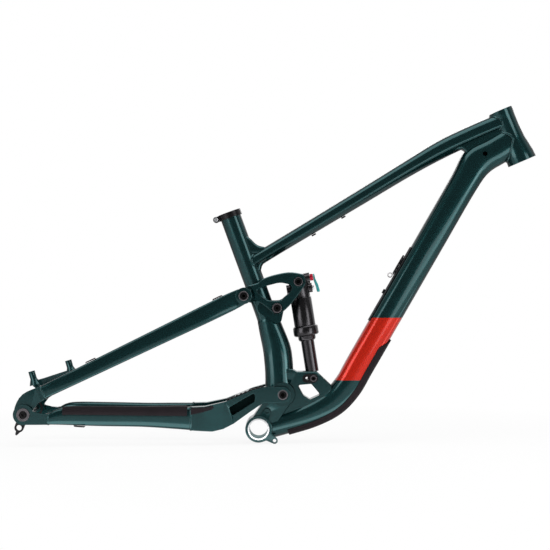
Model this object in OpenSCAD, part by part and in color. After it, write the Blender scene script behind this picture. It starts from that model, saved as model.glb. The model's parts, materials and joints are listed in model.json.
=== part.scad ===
// Full-suspension mountain bike frame with its rear shock.
// Origin at the bottom bracket centre: X forward, Y to the bike's left, Z up. Millimetres.

/* [Frame geometry] */
// Forward distance from the bottom bracket to the head tube's top centre
reach = 459; // [450:1:470]
// Height from the bottom bracket to the head tube's top centre
stack = 603; // [592:1:612]
// Head tube axis, up from level
head_angle = 66.7; // [65.5:0.1:68]
// Head tube length along its axis
head_length = 105.4; // [98:0.2:114]
// Seat tube axis, up from level
seat_angle = 69.9; // [69.5:0.1:70.3]
// Where the seat tube's axis meets the level of the bottom bracket
seat_foot_x = 93.2; // [91:0.2:95]
// Height of the seat tube's open end
seat_top_z = 409.5; // [390:0.5:430]
// Bottom bracket to rear axle
chainstay_length = 435.8; // [430:0.2:442]
// Height of the rear axle over the bottom bracket
bb_drop = 31.8; // [28:0.2:36]

/* [Pivots] */
// Main pivot, forward of the bottom bracket
main_pivot_x = 45.6; // [43:0.2:48]
// Main pivot height
main_pivot_z = 65.5; // [63:0.5:68]
// Rocker pivot on the seat tube, forward
rocker_pivot_x = 35; // [33:0.5:37]
// Rocker pivot height
rocker_pivot_z = 228; // [225:0.5:231]
// Seatstay pivot, forward of the bottom bracket
stay_pivot_x = -28; // [-30:0.5:-26]
// Seatstay pivot height
stay_pivot_z = 251; // [249:0.5:253]
// Upper shock pivot, forward
shock_top_x = 75; // [73:0.5:77]
// Upper shock pivot height
shock_top_z = 278; // [276:0.5:280]
// Lower shock pivot, forward
shock_low_x = 103.6; // [102:0.2:105]
// Lower shock pivot height
shock_low_z = 95; // [94:0.2:96]

/* [Main tubes] */
// Head tube outer diameter at the top
head_top_d = 46.4; // [45:0.2:50]
// Head tube outer diameter at the bottom
head_low_d = 56.3; // [55:0.1:60]
// Upper headset bore
headset_top_d = 41.8; // [41:0.1:42.4]
// Lower headset bore
headset_low_d = 52; // [51:0.1:52.4]
// Depth of each headset bore
headset_depth = 12; // [9:0.5:16]
// Seat tube outer diameter
seat_od = 39.3; // [38.8:0.1:40.4]
// Seat post diameter
seat_post_d = 34.9; // [33.9:0.1:35.4]
// Depth of the seat post bore
seat_post_depth = 180; // [150:1:195]
// Down tube depth, top face to underside
down_depth = 53.2; // [51:0.2:55]
// Down tube width
down_width = 54; // [52:0.5:56]
// Top tube width
top_width = 40; // [37:0.5:43]

/* [Bottom bracket] */
// Shell width
bb_width = 73; // [73:1:75]
// Threaded bore
bb_bore_d = 34.8; // [33.8:0.1:35.4]
// Faced end diameter
bb_face_d = 40.4; // [39:0.2:43]
// Shell outer diameter
bb_od = 50; // [48:0.5:51]
// Chain guide bolt hole
tab_hole_d = 6.4; // [5.4:0.2:7.4]

/* [Rear end] */
// Hub width between the dropouts
hub_width = 148; // [146:0.5:150]
// Through axle diameter
axle_d = 12; // [11:0.1:12.4]
// Derailleur hanger thickness
hanger_t = 6; // [5:0.2:7]
// Dropout plate thickness
plate_t = 6; // [5.5:0.1:6.5]
// Derailleur hanger thread
hanger_hole_d = 10; // [9:0.2:11]
// Distance between the brake posts
post_spacing = 74.2; // [73:0.2:76]
// Brake post thread
post_thread_d = 6; // [5:0.1:6.6]

/* [Shock] */
// Width over the upper shock trunnion
trunnion_w = 54; // [53:0.2:54.6]
// Air can diameter
can_d = 40; // [38:0.5:41]
// Air can collar diameter
collar_d = 47.5; // [45:0.5:49]
// Shaft diameter
shaft_d = 25; // [23:0.2:25.4]
// Lower eyelet width
eyelet_w = 25.8; // [25.4:0.2:26.6]

/* [Clearances] */
// Gap between pieces that turn or slide past each other, face to face
side_gap = 0.5; // [0.4:0.05:0.6]
// Radial gap of a running fit
run_gap = 0.06; // [0.03:0.01:0.09]
// Gap left at a welded joint
weld_gap = 0.04; // [0.02:0.01:0.08]
// Radial play at the two pivots where the linkage is opened
open_gap = 3.4; // [3.2:0.1:3.8]

/* [Hidden] */
$fn = 64;
ring_n = 20;
green = [0.07, 0.2, 0.2];
black = [0.11, 0.1, 0.11];
dark = [0.18, 0.16, 0.18];
silver = [0.75, 0.76, 0.78];
red = [0.7, 0.12, 0.2];
teal = [0.25, 0.65, 0.65];

head_up = [-cos(head_angle), sin(head_angle)];
head_top = [reach, stack];
head_low = head_top - head_length * head_up;
axle = [-sqrt(pow(chainstay_length, 2) - pow(bb_drop, 2)), bb_drop];
main_pivot = [main_pivot_x, main_pivot_z];
rocker_pivot = [rocker_pivot_x, rocker_pivot_z];
stay_pivot = [stay_pivot_x, stay_pivot_z];
shock_top = [shock_top_x, shock_top_z];
shock_low = [shock_low_x, shock_low_z];
shock_line = shock_low - shock_top;
shock_length = norm(shock_line);
shock_tilt = atan2(shock_line[0], -shock_line[1]);

function seat_at(z) = [seat_foot_x - z / tan(seat_angle), z];
function head_at(d) = head_low + d * head_up;
function angle_of(v) = atan2(v[1], v[0]);
function unit(v) = v / norm(v);
function left_of(v) = [-v[1], v[0]];

// Lateral levels, each measured from the centre plane
housing_y = 33;
arm_in_y = housing_y + side_gap;
arm_t = 14.5;
arm_out_y = arm_in_y + arm_t;
rocker_in_y = trunnion_w / 2 + side_gap;
ear_out_y = rocker_in_y + 5.5;
rocker_out_y = rocker_in_y + 11.5;
stay_in_y = ear_out_y + side_gap;
stay_out_y = stay_in_y + 7.6;
boss_y = rocker_in_y - side_gap;
hub_y = hub_width / 2;
mount_y = 22;

// A flat outline in X and Z, thickened across the bike from y0 to y1
module slab(y0, y1) translate([0, y1, 0]) rotate([90, 0, 0]) linear_extrude(y1 - y0) children();

// A round bar across the bike
module bar(p, d, y0, y1) slab(y0, y1) translate(p) circle(d = d);

module both() {
    children();
    mirror([0, 1, 0]) children();
}

module spot(p, r) translate(p) circle(r);

// A hexagon socket cut into a bolt head that faces the given side
module hex_socket(p, flats, y0, y1) slab(y0, y1) translate(p) circle(d = flats / cos(30), $fn = 6);

// A tube station is [x, y, z, direction, half depth, half width, squareness].
// The section lies across the direction, and squareness 2 gives an ellipse.
function power(v, e) = sign(v) * pow(abs(v), e);
function edge_point(s, t, grow) =
    let (u = (s[4] + grow) * power(sin(t), 2 / s[6]), v = (s[5] + grow) * power(cos(t), 2 / s[6]))
    [s[0] - u * sin(s[3]), s[1] + v, s[2] + u * cos(s[3])];
function ring(s) = [for (i = [0 : ring_n - 1]) edge_point(s, 360 * i / ring_n, 0)];
// One strip of the section between two angles, lifted off the surface by low to high
function strip_ring(s, t0, t1, low, high, n) = concat(
    [for (i = [0 : n]) edge_point(s, t0 + (t1 - t0) * i / n, high)],
    [for (i = [n : -1 : 0]) edge_point(s, t0 + (t1 - t0) * i / n, low)]);

// Smooth curve through the stations, with steps between each pair
function blend(p, q, r, s, t) = 0.5 * (2 * q + (r - p) * t + (2 * p - 5 * q + 4 * r - s) * t * t
    + (3 * q - p - 3 * r + s) * t * t * t);
function smooth(st, steps) = let (last = len(st) - 1) concat(
    [for (k = [0 : last - 1], j = [0 : steps - 1])
        blend(st[max(k - 1, 0)], st[k], st[k + 1], st[min(k + 2, last)], j / steps)],
    [st[last]]);
// The same for a closed outline
function closed(v, steps) = let (n = len(v)) [for (k = [0 : n - 1], j = [0 : steps - 1])
    blend(v[(k + n - 1) % n], v[k], v[(k + 1) % n], v[(k + 2) % n], j / steps)];

// A closed skin over rings of equal length
module skin(rings) {
    n = len(rings[0]);
    m = len(rings);
    polyhedron(
        points = [for (r = rings) each r],
        faces = concat(
            [[for (i = [0 : n - 1]) i]],
            [for (k = [0 : m - 2], i = [0 : n - 1]) let (j = (i + 1) % n) each [
                [k * n + i, (k + 1) * n + i, (k + 1) * n + j],
                [k * n + i, (k + 1) * n + j, k * n + j]]],
            [[for (i = [n - 1 : -1 : 0]) (m - 1) * n + i]]));
}

module tube(st) skin([for (s = st) ring(s)]);
module strip(st, t0, t1, low, high, n) skin([for (s = st) strip_ring(s, t0, t1, low, high, n)]);

// The same stations with a thicker section
function grown(st, by) = [for (s = st) [s[0], s[1], s[2], s[3], s[4] + by, s[5] + by, s[6]]];

// The same stations on the other side of the bike
function flip(st) = [for (s = st) [s[0], -s[1], s[2], s[3], s[4], s[5], s[6]]];

// Top tube: rows of [share of its length, rise over a straight line, half depth, part of full width]
top_from = seat_at(309);
top_to = head_at(head_length - 22);
top_rows = [[0, 0, 14.5, 0.84], [0.1, 2, 12.8, 0.88], [0.43, 7.6, 14, 0.95], [0.63, 11.4, 15, 1],
    [0.77, 12, 17.2, 1.05], [0.9, 6.5, 17.6, 1.02], [1, 0, 17.6, 0.98]];
top_dir = unit(top_to - top_from);
top_st = [for (i = [0 : len(top_rows) - 1]) let (
    r = top_rows[i],
    p = top_from + r[0] * (top_to - top_from) + r[1] * left_of(top_dir),
    a = top_rows[max(i - 1, 0)], b = top_rows[min(i + 1, len(top_rows) - 1)],
    lean = atan2(b[1] - a[1], (b[0] - a[0]) * norm(top_to - top_from)))
    [p[0], 0, p[1], angle_of(top_dir) + lean, r[2], r[3] * top_width / 2, 2.7]];
top_path = smooth(top_st, 2);

// Down tube: from the bottom bracket round the knee, then straight up to the head tube
knee = [168, 80];
neck = head_low + [-112, -43];
down_line = neck - knee;
down_angle = angle_of(down_line);
function down_at(d) = knee + d * unit(down_line);
half_depth = down_depth / 2;
half_width = down_width / 2;
guard_end = 117;
down_st = [
    [4, 0, -4, 18, half_depth - 6.6, half_width + 2, 2.8],
    [50, 0, 10, 20, half_depth - 5, half_width + 2, 2.8],
    [100, 0, 28, 23, half_depth - 2.4, half_width + 1, 2.8],
    [140, 0, 50, 36, half_depth - 1, half_width, 2.8],
    [knee[0], 0, knee[1], 52, half_depth - 0.6, half_width, 2.8],
    [down_at(45)[0], 0, down_at(45)[1], down_angle, half_depth - 0.4, half_width, 2.8],
    [down_at(guard_end)[0], 0, down_at(guard_end)[1], down_angle, half_depth - 0.2, half_width, 2.8],
    [down_at(310)[0], 0, down_at(310)[1], down_angle, half_depth, half_width, 2.8],
    [neck[0], 0, neck[1], down_angle, half_depth + 0.4, half_width - 1, 2.7],
    [head_low[0] - 85.7, 0, head_low[1] - 0.7, 46, half_depth + 4.2, half_width - 3, 2.6],
    [head_low[0] - 50, 0, head_low[1] + 21, 38, half_depth + 2.4, half_width - 4, 2.5],
    [head_low[0] - 14, 0, head_low[1] + 44, 32, half_depth + 1, half_width - 5, 2.4]];
down_path = smooth(down_st, 2);
module on_down_tube(d, h) translate([down_at(d)[0], 0, down_at(d)[1]]) rotate([0, -down_angle, 0])
    translate([0, 0, h]) children();

// Storage hatch on the upper face of the down tube, as distances along it from the knee
hatch_from = 128;
hatch_to = 288;
hatch_mid = (hatch_from + hatch_to) / 2;
hatch_lap = 9;
pocket_w = 26;
pocket_floor = -17;
door_lift = 0.3;
door_t = 1.6;
bolt_pitch = 64;
bottle_low = 190;
latch_at = 259;
latch_l = 25;

// Seat tube below the round part
round_low_z = 205;
round_low = seat_at(round_low_z);
round_in = seat_at(round_low_z + 14);
swell = 0.7;
seat_round_l = (seat_top_z - round_low_z) / sin(seat_angle);
seat_dir = 180 - seat_angle;
seat_st = [
    [main_pivot[0] - 5, 0, main_pivot[1] + 4, 90, 28.4, 25, 2.3],
    [main_pivot[0] - 6.4, 0, main_pivot[1] + 35, 90, 26.8, 24.5, 2.3],
    [main_pivot[0] - 8, 0, main_pivot[1] + 62, 93, 27, 23.5, 2.3],
    [main_pivot[0] - 11.6, 0, main_pivot[1] + 87, 100, 26.4, 22.5, 2.2],
    [seat_at(187)[0] - 1.2, 0, 187, seat_dir - 3, 23, 21, 2.1],
    [round_low[0], 0, round_low[1], seat_dir, seat_od / 2 + 2 * swell, seat_od / 2 + swell, 2],
    [round_in[0], 0, round_in[1], seat_dir, seat_od / 2 - 2 * swell, seat_od / 2 - 2 * swell, 2]];
seat_path = smooth(seat_st, 2);
clamp_h = 11.2;
clamp_r = seat_od / 2 + 2.9;
lobe_r = 5.6;
lobe_x = 27.7;
slit_w = 3;
slit_l = 30;
module on_seat_tube(z) translate([seat_at(z)[0], 0, z]) rotate([0, seat_angle - 90, 0]) children();
module seat_round(grow) on_seat_tube(round_low_z) cylinder(r = seat_od / 2 + grow, h = seat_round_l);

module on_head_tube(d) translate([head_at(d)[0], 0, head_at(d)[1]])
    rotate([0, head_angle - 90, 0]) children();
head_mid_r = head_top_d / 2 - 1.2;
head_outer = [[0, head_low_d / 2], [14, head_low_d / 2 - 0.6], [44, head_mid_r + 1], [66, head_mid_r],
    [head_length - 16, head_top_d / 2 - 0.8], [head_length - 8, head_top_d / 2],
    [head_length, head_top_d / 2]];
module head_solid(grow) on_head_tube(0) rotate_extrude()
    polygon(concat([[0, 0]], [for (p = head_outer) [p[1] + grow, p[0]]], [[0, head_length]]));

module bb_solid(grow) bar([0, 0], bb_od + 2 * grow, -bb_width / 2 - 1, bb_width / 2 + 1);

// The forging that joins the bottom bracket, the seat tube and the main pivot
housing_r = 22.6;
housing_web_y = 28;
module housing_solid(grow) {
    slab(-housing_web_y - grow, housing_web_y + grow) hull() {
        spot(main_pivot, housing_r - 1.2 + grow);
        spot([1, 2], bb_od / 2 - 4 + grow);
    }
    bar(main_pivot, 2 * (housing_r + grow), -housing_y, housing_y);
}
pivot_d = 15;
bearing_d = 28;
bearing_t = 7;

module head_tube() color(green) difference() {
    head_solid(0);
    on_head_tube(-1) cylinder(d = headset_low_d, h = headset_depth + 1);
    on_head_tube(head_length - headset_depth) cylinder(d = headset_top_d, h = headset_depth + 1);
    on_head_tube(headset_depth - 1) rotate_extrude() polygon([[0, 0], [headset_low_d / 2 - 3, 0],
        [headset_top_d / 2 - 3, head_length - 2 * headset_depth + 2],
        [0, head_length - 2 * headset_depth + 2]]);
}

// Fillets over and under the top tube at the seat tube
fillet_t = 9;
fillet_high = [top_from + [-22, 58], top_from + [-2, 56], top_from + [6, 49], top_from + [14, 41],
    top_from + [24, 36], top_from + [36, 34], top_from + [26, 20], top_from + [-10, 20]];
fillet_low = [top_from + [12, -16], top_from + [24, -13], top_from + [24.5, -8.5], top_from + [26, -2.5],
    top_from + [29, 3], top_from + [34, 6.2], top_from + [40, 9.6], top_from + [50, 18], top_from + [30, 22],
    top_from + [6, 10]];
module top_tube() color(green) difference() {
    union() {
        tube(top_path);
        slab(-fillet_t, fillet_t) polygon(fillet_high);
        slab(-fillet_t, fillet_t) polygon(fillet_low);
    }
    head_solid(weld_gap);
    seat_round(weld_gap);
    tube(grown(down_path, weld_gap));
}

port_d = 9;
module down_tube() color(green) difference() {
    tube(down_path);
    head_solid(weld_gap);
    bb_solid(weld_gap);
    housing_solid(weld_gap);
    on_down_tube(hatch_mid, pocket_floor) linear_extrude(down_depth) pocket_outline();
    bar(head_low + [-73, 13], port_d, -half_width, 8 - half_width);
}
module pocket_outline() hull() for (x = [-1, 1], y = [-1, 1])
    translate([x * ((hatch_to - hatch_from) / 2 - hatch_lap - pocket_w / 4), y * pocket_w / 4])
        circle(pocket_w / 4);

module seat_tube() color(green) difference() {
    union() {
        seat_round(0);
        difference() {
            tube(seat_path);
            housing_solid(weld_gap);
        }
    }
    on_seat_tube(seat_top_z) translate([0, 0, -seat_post_depth])
        cylinder(d = seat_post_d, h = seat_post_depth + 1);
    on_seat_tube(seat_top_z) translate([-seat_od, -slit_w / 2, -slit_l]) cube([seat_od, slit_w, slit_l + 1]);
    bar(rocker_pivot, rocker_axle_d, -seat_od, seat_od);
}

tab_r = 6;
tab_t = 5;
tab_out_y = bb_width / 2 - 3;
tab_low = [30.2, -21.5];
tab_high = [15.8, 32.7];
module bb_shell() color(green) difference() {
    union() {
        bar([0, 0], bb_od, -bb_width / 2 + 2, bb_width / 2 - 2);
        bar([0, 0], bb_face_d, -bb_width / 2, bb_width / 2);
        slab(-tab_out_y, tab_t - tab_out_y) {
            hull() {
                spot(tab_low, tab_r);
                spot(tab_low / 2, tab_r + 4);
            }
            hull() {
                spot(tab_high, tab_r);
                spot(tab_high / 2, tab_r + 4);
            }
        }
    }
    bar([0, 0], bb_bore_d, -bb_width, bb_width);
    for (p = [tab_low, tab_high]) bar(p, tab_hole_d, -bb_width, tab_t);
}

module pivot_housing() color(green) difference() {
    housing_solid(0);
    bb_solid(weld_gap);
    bar(main_pivot, pivot_d + 3, -housing_y - 1, housing_y + 1);
    both() bar(main_pivot, bearing_d, housing_y - bearing_t, housing_y + 1);
    slab(-tab_out_y - 1, tab_t - tab_out_y + 1) hull() {
        spot(tab_high, tab_r + 1);
        spot(tab_high / 2, tab_r + 5);
    }
}

boss_r = 13;
rocker_axle_d = 8;
module rocker_boss() color(green) difference() {
    union() {
        bar(rocker_pivot, 2 * boss_r, -boss_y, boss_y);
        slab(-boss_y + 4, boss_y - 4) hull() {
            spot(rocker_pivot, boss_r);
            spot(rocker_pivot + [0, -20], boss_r - 4);
            spot(rocker_pivot - [24, 0], boss_r);
        }
    }
    seat_round(weld_gap);
    tube(grown(seat_path, weld_gap));
    bar(rocker_pivot, rocker_axle_d + 0.1, -boss_y - 1, boss_y + 1);
}

// The bracket between seat tube and down tube that holds the shock's lower end
eyelet_r = 10.6;
chip_pitch = 12.4;
low_bolt_d = 9.8;
slot_y = eyelet_w / 2 + side_gap;
slot_r = eyelet_r + open_gap + 2.4;
mount_top = shock_low[1] + 12.5;
window_r = 3;
window = [shock_low + [-24.6, -15.2], shock_low + [-5.2, -13.6], shock_low + [8.4, -29.8],
    shock_low + [-6.2, -36.6], shock_low + [-16.4, -30.2]];
module shock_mount() color(green) difference() {
    slab(-mount_y, mount_y) polygon([[main_pivot[0] + 5, mount_top + 6], [shock_low[0] - 40, mount_top + 5],
        [shock_low[0] - 31, mount_top], [shock_low[0] + 6, mount_top], [shock_low[0] + 34, mount_top - 26],
        [shock_low[0] + 34, mount_top - 52], [shock_low[0] - 24, mount_top - 72],
        [main_pivot[0] - 8, mount_top - 92], [main_pivot[0] + 4, mount_top - 50]]);
    slab(-mount_y - 1, mount_y + 1) hull() for (p = window) spot(p, window_r);
    slab(-slot_y, slot_y) hull() {
        spot(shock_low, slot_r);
        spot(shock_low - unit(shock_line) * 2 * slot_r, slot_r + 3);
    }
    bar(shock_low, low_bolt_d, -mount_y - 1, mount_y + 1);
    bar(shock_low - [chip_pitch, 0], low_bolt_d - 4, -mount_y - 1, mount_y + 1);
    tube(grown(down_path, weld_gap));
    tube(grown(seat_path, weld_gap));
    housing_solid(weld_gap);
}

chip_r = 8.3;
chip_t = 1.6;
module flip_chips() color(dark) both() difference() {
    slab(mount_y, mount_y + chip_t) hull() {
        spot(shock_low, chip_r);
        spot(shock_low - [chip_pitch, 0], chip_r);
    }
    bar(shock_low, low_bolt_d + 2 * weld_gap, 0, mount_y + chip_t + 1);
    bar(shock_low - [chip_pitch, 0], low_bolt_d - 4, 0, mount_y + chip_t + 1);
}

module shock_lower_bolt() color(black) difference() {
    union() {
        bar(shock_low, low_bolt_d, -mount_y - chip_t, mount_y + chip_t);
        both() bar(shock_low, low_bolt_d + 2, mount_y + chip_t, mount_y + chip_t + 1.5);
    }
    hex_socket(shock_low, 5, -mount_y - chip_t - 2, -mount_y);
}

module seat_clamp() color(black) on_seat_tube(seat_top_z) translate([0, 0, -clamp_h]) difference() {
    union() {
        cylinder(r = clamp_r, h = clamp_h);
        translate([-lobe_x, 11, clamp_h / 2]) rotate([90, 0, 0]) cylinder(r = lobe_r, h = 22);
        translate([-lobe_x, -11, 0.6]) cube([lobe_x - seat_od / 2, 22, clamp_h - 1.2]);
    }
    translate([0, 0, -1]) cylinder(d = seat_od + 2 * weld_gap, h = clamp_h + 2);
    translate([-2 * lobe_x, -slit_w / 2, -1]) cube([2 * lobe_x, slit_w, clamp_h + 2]);
    translate([-lobe_x, 12, clamp_h / 2]) rotate([90, 0, 0]) cylinder(d = 5, h = 24);
}

module seat_clamp_bolt() color(silver) on_seat_tube(seat_top_z) translate([-lobe_x, 11, -clamp_h / 2])
    rotate([90, 0, 0]) difference() {
        union() {
            cylinder(d = 5, h = 22);
            translate([0, 0, 22]) cylinder(d = 8.4, h = 2.4);
        }
        translate([0, 0, 22]) cylinder(d = 4 / cos(30), h = 3, $fn = 6);
    }

guard_t = 2.8;
guard_lift = 0.4;
module down_tube_guard() color(black)
    strip([for (s = down_path) if (s[0] > 48 && s[0] < down_at(guard_end + 1)[0]) s],
        206, 334, guard_lift, guard_t, 8);

accessory = [0.245, 0.362];
module accessory_bolts() color(dark) for (f = accessory) {
    p = top_from + f * (top_to - top_from);
    underside = lookup(f, [for (r = top_rows) [r[0], r[1] - r[2]]]);
    translate([p[0], 0, p[1]]) rotate([0, -angle_of(top_dir), 0]) translate([0, 0, underside - 3.3])
    difference() {
        cylinder(d = 9, h = 3);
        translate([0, 0, -1]) cylinder(d = 4 / cos(30), h = 3, $fn = 6);
    }
}

hatch_st = [for (d = [hatch_from, hatch_mid, hatch_to])
    [down_at(d)[0], 0, down_at(d)[1], down_angle, half_depth - 0.2, half_width, 2.8]];
door_r = 4.6;
door_top = half_depth + door_lift + door_t;
module storage_door() color(black) difference() {
    strip(hatch_st, 64, 116, door_lift, door_lift + door_t, 10);
    for (d = [0, bolt_pitch]) on_down_tube(bottle_low + d, 0) cylinder(r = door_r / 2 + 0.1, h = down_depth);
}

module bottle_bolts() color(black) for (d = [0, bolt_pitch]) on_down_tube(bottle_low + d, half_depth - 6)
difference() {
    union() {
        cylinder(r = door_r / 2, h = door_top - half_depth + 6);
        translate([0, 0, door_top - half_depth + 6]) cylinder(r = door_r, h = 3);
    }
    translate([0, 0, door_top - half_depth + 7]) cylinder(d = 4 / cos(30), h = 3, $fn = 6);
}

latch_w = 16;
latch_t = 3;
latch_bolt = bottle_low + bolt_pitch - latch_at;
loop_r = 4;
module storage_latch() color(black) on_down_tube(latch_at, door_top + side_gap) {
    difference() {
        linear_extrude(latch_t) hull() for (x = [0, -latch_l]) translate([x, 0]) circle(latch_w / 2);
        translate([0, 0, -1]) linear_extrude(latch_t + 2) hull() for (x = [latch_bolt, latch_bolt - 8])
            translate([x, 0]) circle(door_r + 1);
    }
    translate([-latch_l - latch_w / 2 - 3, 0, loop_r + 1.4]) rotate([90, 0, 0]) rotate_extrude()
        translate([loop_r, 0]) circle(1, $fn = 24);
    translate([latch_w / 2, latch_w / 4, latch_t / 2]) rotate([90, 0, 0])
        cylinder(d = latch_t, h = latch_w / 2);
}

module ring_pair(p, d_in, d_out, y0, y1) both() difference() {
    bar(p, d_out, y0, y1);
    bar(p, d_in, y0 - 1, y1 + 1);
}

module main_pivot_bearings() color(silver)
    ring_pair(main_pivot, pivot_d + 2 * run_gap, bearing_d, housing_y - bearing_t, housing_y);

bolt_head = 3;
module main_pivot_axle() color(silver) bar(main_pivot, pivot_d, bolt_head - arm_out_y, arm_out_y - bolt_head);

main_bolt_d = 19;
module main_pivot_bolts() color(black) both() difference() {
    bar(main_pivot, main_bolt_d, arm_out_y - bolt_head, arm_out_y - 0.4);
    hex_socket(main_pivot, 8, arm_out_y - bolt_head + 1, arm_out_y + 1);
}

module rocker_pivot_axle() color(silver) bar(rocker_pivot, rocker_axle_d,
    -rocker_out_y - side_gap, rocker_out_y + side_gap);

rocker_bolt_d = 18;
module rocker_pivot_bolts() color(black) both() difference() {
    bar(rocker_pivot, rocker_bolt_d, rocker_out_y + side_gap, rocker_out_y + side_gap + 2.4);
    hex_socket(rocker_pivot, 6, rocker_out_y + side_gap + 1, rocker_out_y + 4);
}

// Swingarm: the yoke's side outline is cut to its outline from above
arm_r = 15;
yoke_back = -126;
module yoke_side() {
    spot(main_pivot, arm_r);
    polygon([main_pivot + [0, arm_r], main_pivot + [-34, arm_r + 0.4], main_pivot + [-57, 9], [-63, 53],
        [-100, 45], [yoke_back, 44], [yoke_back, 0.5], [-86, -2.2], [-66, 2], [-46, 12], [-16, 33.5],
        [0, 44.5], main_pivot + [-34, -arm_r + 0.4], main_pivot + [0, -arm_r]]);
}
yoke_front = main_pivot[0] + arm_r + 1;
bridge_front = -18;
bridge_rear = -46;
function backward(v) = [for (i = [len(v) - 1 : -1 : 0]) v[i]];
yoke_y = 68;
function yoke_outer(s) = [[yoke_front, s * arm_out_y], [-30, s * arm_out_y], [-66, s * (yoke_y - 13.5)],
    [-104, s * (yoke_y - 2)], [yoke_back, s * yoke_y]];
function yoke_inner(s) = [[yoke_back, s * 46], [-62, s * 37], [bridge_rear, s * arm_in_y]];
module yoke_plan() polygon(concat(
    [[yoke_front, arm_in_y], [bridge_front, arm_in_y], [bridge_front, -arm_in_y], [yoke_front, -arm_in_y]],
    yoke_outer(-1), yoke_inner(-1), backward(yoke_inner(1)), backward(yoke_outer(1))));
pocket_pts = [[-10, 64.5], [-10, 55.5], [-48, 31], [-51, 41]];
pocket_r = 3.2;
pocket_depth = 9;
module chainstay_yoke() color(green) difference() {
    intersection() {
        slab(-80, 80) yoke_side();
        translate([0, 0, -10]) linear_extrude(100) yoke_plan();
    }
    bar(main_pivot, pivot_d, -80, 80);
    both() bar(main_pivot, main_bolt_d + 0.2, arm_out_y - bolt_head, 80);
    both() slab(arm_out_y - pocket_depth, 80) hull() for (p = pocket_pts) spot(p, pocket_r);
}

// Ribbed rubber strip along the top of the right arm
yoke_top = [[-63, 53], main_pivot + [-57, 9], main_pivot + [-34, arm_r + 0.4]];
rib_from = -60;
rib_to = 10;
rib_n = 9;
rib_low = 1.4;
rib_high = 3;
chain_guard_t = 2.4;
function yoke_top_z(x) = lookup(x, yoke_top) + weld_gap;
module yoke_guard() color(dark) {
    slab(1 - arm_out_y, -1 - arm_in_y) polygon(concat(
        [for (i = [0 : 4 * rib_n - 1]) let (x = rib_from + (rib_to - rib_from) * i / (4 * rib_n - 1))
            [x, yoke_top_z(x) + (i % 4 == 1 || i % 4 == 2 ? rib_high : rib_low)]],
        [for (x = [rib_to, yoke_top[1][0], rib_from]) [x, yoke_top_z(x)]]));
    intersection() {
        slab(-yoke_y - 2 * chain_guard_t, 0) polygon([[yoke_back, 30], [-104, 34.5], [-86, 39.5], [-83, 43.5],
            [-86, 46.5], [-100, 43.6], [yoke_back, 42.6]]);
        linear_extrude(2 * yoke_y) polygon(concat([for (p = yoke_outer(-1)) p - [0, guard_lift]],
            backward([for (p = yoke_outer(-1)) p - [0, chain_guard_t]])));
    }
}

stay_rear_right = hub_y + 12;
stay_rear_left = hub_y + 7;
drop_front = axle[0] + 46;
function chainstay_st(rear_y) = [
    [yoke_back - weld_gap, 57, 22.2, 180, 21.7, 11, 3.4],
    [yoke_back - 30, 59, 23.4, 180, 20.4, 11, 3.2],
    [yoke_back - 90, 63.5, 25.2, 180, 18, 10.6, 3],
    [yoke_back - 170, 70.5, 26.7, 180, 17.5, 10, 3],
    [drop_front + 26, rear_y - 4.5, 28, 180, 15.6, 9, 3],
    [drop_front + weld_gap, rear_y, 23.4, 180, 10.2, 8.4, 3]];
right_chainstay = smooth(flip(chainstay_st(stay_rear_right)), 2);
left_chainstay = smooth(chainstay_st(stay_rear_left), 2);
module chainstay_right() color(green) tube(right_chainstay);
module chainstay_left() color(green) tube(left_chainstay);

module chainstay_guard() color(dark)
    strip([for (s = right_chainstay) if (s[0] < yoke_back - 4 && s[0] > drop_front + 20) s],
        185, 300, guard_lift, chain_guard_t, 9);

drop_r = 19;
sleeve_d = 22;
right_hub_y = hub_y + hanger_t;
right_plate_y = right_hub_y + plate_t + 2 * side_gap + 1;
left_plate_y = hub_y + plate_t + 2 * side_gap + 1;
bolt_shank_d = 17;
module chainstay_plate(plate_y, inner_y, rear_y, hole_d) difference() {
    union() {
        slab(plate_y, plate_y + plate_t) {
            spot(axle, drop_r);
            polygon([axle + [-4, -18.5], axle + [20, -18.6], [drop_front, 13.4], [drop_front, 33.4],
                axle + [32, 2.4], axle + [18, 6], axle + [5, 18]]);
        }
        slab(rear_y - 8.4, rear_y + 8.4) polygon([[drop_front, 13.4], [drop_front, 33.4],
            [drop_front - 12, 33.4], [drop_front - 16, 26], [drop_front - 14, 13.4]]);
        bar(axle, sleeve_d, inner_y, plate_y);
    }
    bar(axle, hole_d, 0, 2 * hub_width);
}
module chainstay_dropout_right() color(green) mirror([0, 1, 0])
    chainstay_plate(right_plate_y, right_hub_y, stay_rear_right, bolt_shank_d);
module chainstay_dropout_left() color(green)
    chainstay_plate(left_plate_y, hub_y, stay_rear_left, axle_d + 2 * run_gap);

hanger_hole = axle + [-9.6, -25.1];
hanger_tip = axle + [-14.4, -37];
chain_guide_x = -332;
chain_guide_z = 10.2;
module chain_cable_guide() color(dark) translate([chain_guide_x, 7.5 - stay_rear_right, chain_guide_z])
    rotate([0, 3.8, 0]) mirror([0, 0, 1])
        linear_extrude(guide_t, scale = 0.8) square([guide_l, guide_w], center = true);

module derailleur_hanger() color(dark) difference() {
    slab(-right_hub_y, -hub_y) {
        spot(axle, 13);
        hull() {
            spot(axle, 9);
            spot(hanger_hole, 8.6);
        }
        hull() {
            spot(hanger_hole + [2, 0], 6);
            spot(hanger_tip, 2.2);
        }
    }
    bar(axle, axle_d + 2 * run_gap, -hub_width, 0);
    bar(hanger_hole, hanger_hole_d, -hub_width, 0);
}

hanger_head_r = 12;
module hanger_bolt() color(black) difference() {
    union() {
        bar(axle, bolt_shank_d, -right_plate_y - plate_t, -right_hub_y);
        bar(axle, 2 * hanger_head_r, -right_plate_y - plate_t - 3, -right_plate_y - plate_t);
    }
    bar(axle, axle_d + 2 * run_gap, -hub_width, 0);
    hex_socket(axle, 14, -hub_width, -right_plate_y - plate_t + 1);
}

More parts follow.
